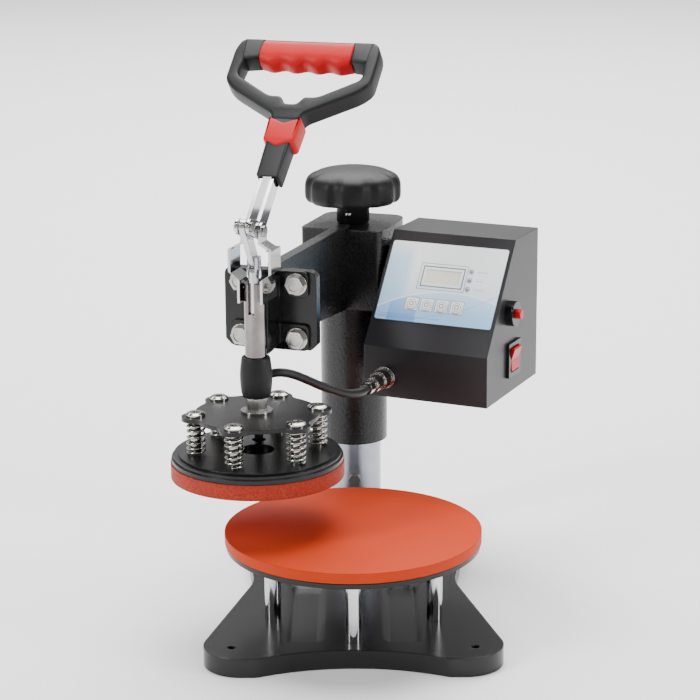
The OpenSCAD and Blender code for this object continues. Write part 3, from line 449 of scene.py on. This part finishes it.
def lathe(name, profile, mat, steps, centre=(0, 0), wave=None):
    """Turn a profile of (radius, height) in mm; wave(angle, r, z) scales the radius."""
    verts, faces = [], []
    for k in range(steps):
        a = 2 * math.pi * k / steps
        for r, z in profile:
            s = wave(a, r, z) if wave else 1.0
            verts.append((centre[0] + r * s * math.cos(a) * MM, centre[1] + r * s * math.sin(a) * MM, z * MM))
    n = len(profile)
    for k in range(steps):
        for i in range(n - 1):
            a, b = k * n + i, ((k + 1) % steps) * n + i
            faces.append((a, b, b + 1, a + 1))
    ob = add_mesh(name, verts, faces, mat)
    bm = bmesh.new()
    bm.from_mesh(ob.data)
    bmesh.ops.remove_doubles(bm, verts=bm.verts, dist=1e-7)
    bmesh.ops.recalc_face_normals(bm, faces=bm.faces)
    bm.to_mesh(ob.data)
    bm.free()
    return ob


# ---- the heater lead, first because the frame checks it ----------------------------------------
ROUTE = [(50.7, -117.9, 174), (49.9, -125.5, 174), (47, -134, 174.5), (42, -145, 177), (36, -156, 182),
         (29, -168, 188.5), (22, -180, 196), (15, -191, 202.5), (8, -200, 206), (1, -205.5, 205.5),
         (-5, -207.6, 201.5), (-8, -207.6, 194), (-8.3, -207.4, 186), (-8.3, -207.4, 176),
         (-8.3, -207.4, 164), (-8.3, -207.4, 150.9)]
LEAD_R, LEAD_SIDES = 3.5, 20
lead_path = [arm(*p) for p in smooth_path(ROUTE, 4)]
lead = tube("heater_lead", lead_path, LEAD_R * MM, LEAD_SIDES, CABLE)
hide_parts("heater_cable")
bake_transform(lead)


# ---- springs as round wire, closed at the ends --------------------------------------------------
lo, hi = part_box("platen_springs")
SPR_LO, SPR_HI = lo.z / MM, hi.z / MM
SPRINGS, SPRING_CIRCLE = 6, 47.6
WIRE_R, COIL_R = 1.05, 7.6     # the wire's own radius and the coil's outer one
TURNS, TURN_STEPS, WIRE_SIDES = 6.0, 26, 10
END_CLOSE = 0.035              # how far the end turns lie closer than the middle ones


def spring(name, cx, cy, turn0):
    pts = []
    z0, z1 = SPR_LO + WIRE_R, SPR_HI - WIRE_R
    r = COIL_R - WIRE_R
    for i in range(int(TURNS * TURN_STEPS) + 1):
        t = i / TURN_STEPS
        u = t / TURNS
        ease = u - END_CLOSE * math.sin(2 * math.pi * u)
        a = 2 * math.pi * t + turn0
        pts.append(arm(cx + r * math.cos(a), cy + r * math.sin(a), z0 + (z1 - z0) * ease))
    return tube(name, pts, WIRE_R * MM, WIRE_SIDES, NICKEL)


coils = []
for i in range(SPRINGS):
    a = math.radians(30 + 360 / SPRINGS * i)
    x, y = ROD[0] + SPRING_CIRCLE * math.cos(a), ROD[1] + SPRING_CIRCLE * math.sin(a)
    coils.append(spring(f"spring_{i + 1}", x, y, a))
for c in coils:
    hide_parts("platen_springs")
    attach(c, "plunger")
    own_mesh(c)


# ---- lever handle --------------------------------------------------------------------------------
PIVOT_Z = 325.3
LEAN = math.radians(48)        # the open lever leans this far back
LEVER = (rot_z(SWING) @ Matrix.Translation((ROD[0] * MM, ROD[1] * MM, PIVOT_Z * MM))
         @ Matrix.Rotation(-LEAN, 4, "X"))


def fillet(poly, radius, steps=6):
    """Round the corners of an outline by one radius, or by one for each corner."""
    out = []
    n = len(poly)
    for i in range(n):
        a, b, c = (Vector((*poly[(i + k) % n], 0)) for k in (-1, 0, 1))
        u, v = (a - b), (c - b)
        r = radius[i] if isinstance(radius, list) else radius
        d = min(r, 0.45 * u.length, 0.45 * v.length)
        p, q = b + u.normalized() * d, b + v.normalized() * d
        for k in range(steps + 1):
            t = k / steps
            out.append(((1 - t) ** 2 * p + 2 * t * (1 - t) * b + t * t * q).to_2d())
    return out


def slab(name, loops, thick, bevel, mat, place):
    """A flat plate with rounded edges: the outline and holes in mm, thick across."""
    cu = bpy.data.curves.new(name, "CURVE")
    cu.dimensions = "2D"
    cu.fill_mode = "BOTH"
    for loop in loops:
        sp = cu.splines.new("POLY")
        sp.points.add(len(loop) - 1)
        for k, (x, y) in enumerate(loop):
            sp.points[k].co = (x * MM, y * MM, 0, 1)
        sp.use_cyclic_u = True
    cu.extrude = (thick / 2 - bevel) * MM
    cu.bevel_depth = bevel * MM
    cu.bevel_resolution = 3
    cu.offset = -bevel * MM
    ob = bpy.data.objects.new(name, cu)
    bpy.context.collection.objects.link(ob)
    bpy.context.view_layer.update()
    me = bpy.data.meshes.new_from_object(ob.evaluated_get(bpy.context.evaluated_depsgraph_get()))
    bpy.data.objects.remove(ob)
    me.name = name
    me.materials.clear()
    me.materials.append(mat)
    bm = bmesh.new()
    bm.from_mesh(me)
    bmesh.ops.remove_doubles(bm, verts=bm.verts, dist=1e-7)
    bmesh.ops.recalc_face_normals(bm, faces=bm.faces)
    for f in bm.faces:
        f.smooth = True
    bm.to_mesh(me)
    bm.free()
    me.set_sharp_from_angle(angle=math.radians(38))
    ob = bpy.data.objects.new(name, me)
    ob.matrix_world = place
    bpy.context.collection.objects.link(ob)
    return ob


def mirrored(half):
    """The right half of an outline and its mirror image."""
    return half + [(-x, y) for x, y in reversed(half)]


FLAT = LEVER @ Matrix.Rotation(math.radians(90), 4, "X")
outer = mirrored([(57, 182), (61, 172), (61, 140), (53, 131), (13.5, 108), (11.2, 101)])
inner = mirrored([(50, 165), (52, 145), (20, 125.5), (9.5, 125.5), (5, 118)])
outer_round = [4.5, 4.5, 5, 6, 5, 3]
inner_round = [3, 5, 5, 3, 3]
d_frame = slab("handle_d", [fillet(outer, outer_round + outer_round[::-1]),
                            fillet(inner, inner_round + inner_round[::-1])],
               17, 2.6, HANDLE, FLAT)
neck_l = [(-9, 47), (-5.9, 47), (-5.9, 79), (5.9, 79), (5.9, 47), (9, 47), (10.4, 103), (-10.4, 103)]
neck = slab("handle_neck", [fillet(neck_l, 1.2, 3)], 16, 1.4, HANDLE, FLAT)
front_l = [(-8.4, 46), (8.4, 46), (8.6, 80), (-8.6, 80)]
neck_front = slab("handle_neck_front", [fillet(front_l, 1.5, 3)], 1.4, 0.5,
                  HANDLE, FLAT @ Matrix.Translation((0, 0, 7.3 * MM)))
grip_caps = []
for sx in (-1, 1):
    q = [(sx * 38.3, 162.5), (sx * 53, 160.5), (sx * 55, 182), (sx * 36.5, 182)]
    grip_caps.append(slab(f"grip_cap_{'l' if sx < 0 else 'r'}", [fillet(q, 1.6, 3)], 17.4, 2.0, HANDLE, FLAT))
collar_l = [(-13.6, 104), (0, 98), (13.6, 104), (12.9, 81), (0, 75), (-12.9, 81)]
collar = slab("grip_collar", [fillet(collar_l, 2.0, 4)], 18.2, 2.2, GRIP, FLAT)


GRIP_HALF, GRIP_Z = 38.6, 171    # half its length, and its distance from the lever's pivot
FINGER = 19.0                    # one finger hollow to the next
SQUARE = 0.62                    # below 1 the round section turns towards a square


def grip_mesh():
    """The soft grip: a squarish bar with finger hollows underneath and rounded ends."""
    verts, faces = [], []
    nx, na = 96, 40
    for i in range(nx + 1):
        x = GRIP_HALF * (2 * i / nx - 1)
        wave = 0.5 + 0.5 * math.cos(2 * math.pi * (x / FINGER + 0.5))
        edge = min(1.0, (GRIP_HALF - abs(x)) / 1.2)
        pinch = 0.90 + 0.10 * math.sqrt(max(0.0, 1 - (1 - edge) ** 2))
        for k in range(na):
            a = 2 * math.pi * k / na
            cy, cz = math.sin(a), math.cos(a)
            low = max(0.0, -cz)
            r_y, r_z = 9.9, 11.5 if cz > 0 else 10.4 + 2.9 * wave * low
            y = r_y * math.copysign(abs(cy) ** SQUARE, cy)
            z = r_z * math.copysign(abs(cz) ** SQUARE, cz)
            verts.append(Vector((x * MM, y * pinch * MM, (GRIP_Z + z * pinch) * MM)))
    for i in range(nx):
        for k in range(na):
            a, b = i * na + k, i * na + (k + 1) % na
            faces.append((a, b, b + na, a + na))
    faces.append(tuple(reversed(range(na))))
    faces.append(tuple(range(nx * na, (nx + 1) * na)))
    ob = add_mesh("finger_grip", [LEVER @ v for v in verts], faces, GRIP)
    ob.data.set_sharp_from_angle(angle=math.radians(50))
    return ob


grip = grip_mesh()
for ob in (d_frame, neck, neck_front, *grip_caps):
    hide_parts("handle_frame")
    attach(ob, "handle")
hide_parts("handle_collar")
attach(collar, "handle")
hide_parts("hand_grip")
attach(grip, "handle")

# ---- height knob --------------------------------------------------------------------------------
lo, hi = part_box("height_knob")
KZ, KT = lo.z / MM, hi.z / MM
KNOB_HEAD = 30                   # height of the wide part
HOLLOWS, HOLLOW_DEPTH, HOLLOW_FROM = 8, 0.055, 20
rim = KT - KNOB_HEAD
knob_neck = [(0, KZ), (12.6, KZ), (14, KZ + 1.2), (14, rim - 0.5), (14.2, rim)]
knob_head = [(34, rim), (38.0, rim + 1.0), (40.4, rim + 3.6), (41, rim + 7), (41, rim + 13), (40.6, rim + 17),
             (39, rim + 20.8), (36, rim + 23.6), (31, rim + 26), (24, rim + 28), (16, rim + 29.3),
             (8, rim + 29.9), (0, KT)]


def dense(profile, n=4):
    """The same profile as a smooth curve."""
    return [(max(0.0, q[0]), q[1]) for q in smooth_path([(r, z, 0) for r, z in profile], n)]


def scallop(a, r, z):
    """Eight shallow hollows round the head's edge."""
    if r < HOLLOW_FROM or z < rim - 0.2:
        return 1.0
    f = max(0.0, math.cos(HOLLOWS * (a - math.pi / HOLLOWS))) ** 1.6
    return 1.0 - HOLLOW_DEPTH * f * min(1.0, (r - HOLLOW_FROM) / 16)


knob = lathe("knob_moulding", knob_neck + dense(knob_head), KNOB, steps=224, wave=scallop)
knob.data.set_sharp_from_angle(angle=math.radians(50))
set_screw = lathe("knob_set_screw", [(0, 0), (2.4, 0), (2.6, 0.3), (2.6, 1.5), (0, 1.5)], NICKEL, steps=24)
screw_at = Matrix.Translation((-4 * MM, -13.45 * MM, (KZ + 9) * MM))
set_screw.matrix_world = screw_at @ Matrix.Rotation(math.radians(90), 4, "X")
for ob, slot in ((knob, "knob_black"), (set_screw, "nickel")):
    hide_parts("height_knob")
    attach(ob, "knob")

# ---- rubber boot --------------------------------------------------------------------------------
lo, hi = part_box("rubber_boot")
BZ, BT = lo.z / MM, hi.z / MM
rod_c = arm(*ROD, 0)
boot_wall = [(9.6, BZ), (10.6, BZ + 0.5), (11.3, BZ + 2.5), (12.0, BZ + 7), (12.5, BZ + 14), (12.45, BZ + 20),
             (11.7, BZ + 27), (11.2, BZ + 30.4), (10.6, BT - 0.2), (9.6, BT), (8.8, BT), (8.6, BT - 1),
             (8.6, BT - 4.9)]
boot = lathe("boot", [(5.6, BZ)] + dense(boot_wall, 3), RUBBER, steps=64, centre=(rod_c.x, rod_c.y))
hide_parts("rubber_boot")
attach(boot, "plunger")


# ---- cast base with rounded edges --------------------------------------------------------------
BASE_ROUND = 3.8


def rounded_copy(node, name, width, mat, angle=50, segs=4, weld=2e-6):
    """A copy of a node with bevelled edges and even shading on its flat faces."""
    src = NODES[node]
    me = src.data.copy()
    me.name = name
    ob = bpy.data.objects.new(name, me)
    bpy.context.collection.objects.link(ob)
    me.materials.clear()
    me.materials.append(mat)
    bm = bmesh.new()
    bm.from_mesh(me)
    bmesh.ops.remove_doubles(bm, verts=bm.verts, dist=weld)
    bmesh.ops.dissolve_limit(bm, angle_limit=math.radians(1.0), verts=bm.verts, edges=bm.edges)
    bm.to_mesh(me)
    bm.free()
    mod = ob.modifiers.new("round", "BEVEL")
    mod.width = width * MM
    mod.segments = segs
    mod.limit_method = "ANGLE"
    mod.angle_limit = math.radians(angle)
    mod.harden_normals = False
    apply_all(ob)
    for p in ob.data.polygons:
        p.use_smooth = True
    ob.data.set_sharp_from_angle(angle=math.radians(28))
    even = ob.modifiers.new("even", "WEIGHTED_NORMAL")
    even.weight = 90
    even.keep_sharp = True
    apply_all(ob)
    return ob


base = rounded_copy("base_plate", "cast_base", BASE_ROUND, CAST)
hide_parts("base_plate")
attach(base, "base")


# ---- floor, light --------------------------------------------------------------------------------
FLOOR_HALF, FLOOR_DROP = 14, 0.0003  # metres; the drop keeps the floor clear of the base's underside


def floor():
    h = FLOOR_HALF
    verts = [(-h, -h, 0), (h, -h, 0), (h, h, 0), (-h, h, 0)]
    mat, nt, bsdf = base_material("pale floor")
    noise = nt.nodes.new("ShaderNodeTexNoise")
    noise.inputs["Scale"].default_value = 6.0
    roughness_from(nt, bsdf, noise.outputs["Fac"], 0.7, 0.8)
    bsdf.inputs["Base Color"].default_value = (0.93, 0.93, 0.93, 1)
    bsdf.inputs["Specular IOR Level"].default_value = 0.1
    ob = add_mesh("floor", verts, [(0, 1, 2, 3)], mat)
    ob.location.z = -FLOOR_DROP
    return ob


floor()
world = bpy.data.worlds.new("studio")
bpy.context.scene.world = world
world.use_nodes = True
bg = world.node_tree.nodes["Background"]
wn = world.node_tree.nodes
wl = world.node_tree.links
sky_dir = wn.new("ShaderNodeTexCoord")
sky_sep = wn.new("ShaderNodeSeparateXYZ")
sky_ramp = wn.new("ShaderNodeValToRGB")
wl.new(sky_dir.outputs["Generated"], sky_sep.inputs[0])
wl.new(sky_sep.outputs[2], sky_ramp.inputs["Fac"])
wl.new(sky_ramp.outputs["Color"], bg.inputs["Color"])
sky_ramp.color_ramp.elements[0].position = 0.12
sky_ramp.color_ramp.elements[0].color = (1, 1, 1, 1)
sky_ramp.color_ramp.elements[1].position = 0.62
sky_ramp.color_ramp.elements[1].color = (0.07, 0.07, 0.07, 1)
bg.inputs["Strength"].default_value = 0.8


def area(name, loc, target, size, power, size_y=None):
    li = bpy.data.lights.new(name, "AREA")
    li.shape = "RECTANGLE"
    li.size = size
    li.size_y = size_y or size
    li.energy = power
    li.spread = math.pi
    ob = bpy.data.objects.new(name, li)
    ob.location = loc
    d = Vector(target) - Vector(loc)
    ob.rotation_euler = d.to_track_quat("-Z", "Y").to_euler()
    bpy.context.collection.objects.link(ob)


area("key", (-1.45, -1.1, 1.25), (0, -0.15, 0.2), 0.35, 28, 1.1)
area("fill", (1.7, -0.9, 0.9), (0, -0.15, 0.2), 0.3, 18, 1.1)
area("top", (0.1, 0.25, 2.2), (0, -0.1, 0.1), 1.6, 76)
area("back", (0.0, 2.6, 2.6), (0, 3.0, 0.0), 4.0, 260, 3.0)
